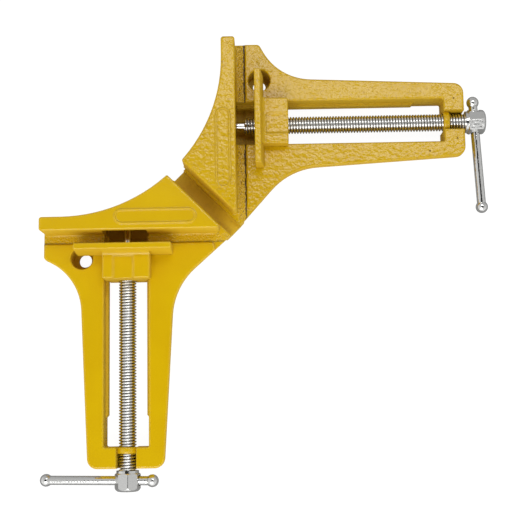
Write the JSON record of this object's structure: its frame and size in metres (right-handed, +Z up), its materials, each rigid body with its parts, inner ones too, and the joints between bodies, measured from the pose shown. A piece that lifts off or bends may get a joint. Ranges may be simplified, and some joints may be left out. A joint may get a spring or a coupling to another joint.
{
  "type": "corner clamp",
  "caption": "Right-angle corner clamp: cast body with fences and slotted arms, a screw-driven jaw on each arm, and sliding tommy bars.",
  "frame": {"origin": "the work corner, where the planes of the two fence faces meet, at bench height", "axes": "+X out along the right arm, -Y out along the front arm, +Z up from the bench"},
  "size_m": [0.2487, 0.2449, 0.031],
  "materials": {
    "painted_casting": "glossy yellow enamel over a cast skin",
    "plated_screw": "zinc-plated rolled thread",
    "bright_plating": "bright plated steel",
    "spring_steel": "plain"
  },
  "bodies": {
    "frame": {"cast_body": "painted_casting"},
    "right_jaw": {"right_jaw": "painted_casting"},
    "right_screw": {"right_screw": "plated_screw", "right_screw_head": "bright_plating", "right_thrust_washer": "spring_steel", "right_retaining_ring": "spring_steel"},
    "right_bar": {"right_tommy_bar": "bright_plating", "right_bar_long_ball": "bright_plating", "right_bar_short_ball": "bright_plating"},
    "front_jaw": {"front_jaw": "painted_casting"},
    "front_screw": {"front_screw": "plated_screw", "front_screw_head": "bright_plating", "front_thrust_washer": "spring_steel", "front_retaining_ring": "spring_steel"},
    "front_bar": {"front_tommy_bar": "bright_plating", "front_bar_long_ball": "bright_plating", "front_bar_short_ball": "bright_plating"}
  },
  "joints": [
    {"name": "right_jaw_slide", "type": "slide", "parent": "frame", "child": "right_jaw", "axis": [1, 0, 0], "range_m": [-0.0101, 0.0857]},
    {"name": "right_screw_spin", "type": "hinge", "parent": "frame", "child": "right_screw", "pos_m": [0.08, 0.061, 0.0083], "axis": [1, 0, 0], "range_deg": [-19433, 2289]},
    {"name": "right_bar_slide", "type": "slide", "parent": "right_screw", "child": "right_bar", "axis": [0.0651, -0.9929, -0.0996], "range_m": [-0.0375, 0.0007]},
    {"name": "front_jaw_slide", "type": "slide", "parent": "frame", "child": "front_jaw", "axis": [0, -1, 0], "range_m": [-0.0067, 0.0891]},
    {"name": "front_screw_spin", "type": "hinge", "parent": "frame", "child": "front_screw", "pos_m": [-0.061, -0.08, 0.0083], "axis": [0, -1, 0], "range_deg": [-20204, 1518]},
    {"name": "front_bar_slide", "type": "slide", "parent": "front_screw", "child": "front_bar", "axis": [-0.9944, 0.0104, -0.1054], "range_m": [-0.0348, 0.0033]}
  ],
  "couplings": [
    {"joint": "right_jaw_slide", "follows": "right_screw_spin", "m_per_rad": -0.00025266},
    {"joint": "front_jaw_slide", "follows": "front_screw_spin", "m_per_rad": -0.00025266}
  ]
}
